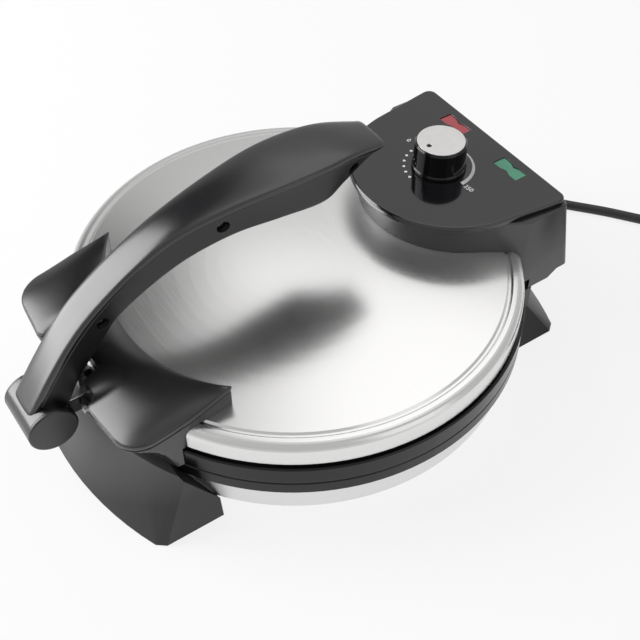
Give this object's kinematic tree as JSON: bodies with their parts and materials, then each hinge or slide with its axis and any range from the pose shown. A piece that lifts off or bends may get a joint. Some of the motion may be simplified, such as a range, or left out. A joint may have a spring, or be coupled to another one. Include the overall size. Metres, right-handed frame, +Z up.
{
  "type": "roti maker",
  "caption": "Round electric flatbread maker: steel lid on a rear hinge, long curved press lever on a front collar, rear control box with dial knob and lamps, and a mains cord with plug.",
  "frame": {"origin": "middle of the outline on the table, below the lid, cord left out", "axes": "+Z up, -Y towards the lever's pivot (front), +Y towards the control box (rear), +X to the right seen from the front"},
  "size_m": [0.2969, 0.4743, 0.149],
  "materials": {
    "steel": "satin brushed stainless steel",
    "black_plastic": "satin black moulding",
    "dark_plastic": "satin dark grey moulding",
    "gloss_black": "polished black moulding",
    "ring_plastic": "dark grey heat-resistant moulding",
    "silver_plastic": "silver lacquered plastic",
    "red_lens": "clear red lens",
    "green_lens": "clear green lens",
    "lamp_glass": "clear",
    "plate_coating": "dark non-stick coating",
    "element_steel": "heat-darkened tube",
    "zinc": "zinc plated",
    "shield_metal": "plain sheet",
    "cast_metal": "plain die casting",
    "ceramic": "off-white heat-resistant moulding",
    "pad_rubber": "matt",
    "cord_skin": "smooth black cord sheath"
  },
  "bodies": {
    "base": {"base_pan": "steel", "base_ring": "ring_plastic", "front_foot": "black_plastic", "rear_foot": "black_plastic", "rear_housing": "black_plastic", "foot_pads": "pad_rubber", "base_screws": "zinc", "lower_plate": "plate_coating", "lower_heater": "element_steel", "lower_posts": "zinc", "lower_heat_shield": "shield_metal", "terminal_block": "ceramic", "cord_gland": "cord_skin", "cord_lead": "cord_skin", "cord_coil": "cord_skin", "cord_tail": "cord_skin", "plug_body": "cord_skin", "plug_pins": "zinc"},
    "lid": {"lid_cover": "steel", "lid_ring": "ring_plastic", "upper_plate": "plate_coating", "upper_heater": "element_steel", "upper_posts": "zinc", "upper_heat_shield": "shield_metal", "thermal_fuse": "zinc", "hinge_frame": "cast_metal", "hinge_pins": "zinc", "control_box": "black_plastic", "control_panel": "dark_plastic", "red_lens": "red_lens", "green_lens": "green_lens", "indicator_lamps": "lamp_glass", "thermostat_body": "ceramic", "front_collar": "black_plastic", "lever_bracket": "black_plastic", "bracket_screws": "zinc", "lever_pin": "zinc"},
    "lever": {"lever_barrel": "dark_plastic", "barrel_caps": "dark_plastic", "lever_lower_shell": "black_plastic", "lever_upper_shell": "dark_plastic", "lever_screws": "zinc"},
    "knob": {"thermostat_shaft": "zinc", "knob_body": "gloss_black", "knob_disc": "silver_plastic"}
  },
  "joints": [
    {"name": "lid_hinge", "type": "hinge", "parent": "base", "child": "lid", "pos_m": [0, 0.1404, 0.056], "axis": [-1, 0, 0], "range_deg": [0, 100]},
    {"name": "lever_pivot", "type": "hinge", "parent": "lid", "child": "lever", "pos_m": [0, -0.1586, 0.0477], "axis": [1, 0, 0], "range_deg": [0, 110]},
    {"name": "knob_turn", "type": "hinge", "parent": "lid", "child": "knob", "pos_m": [0, 0.1022, 0.0943], "axis": [0, 0, 1], "range_deg": [-100, 175]}
  ]
}
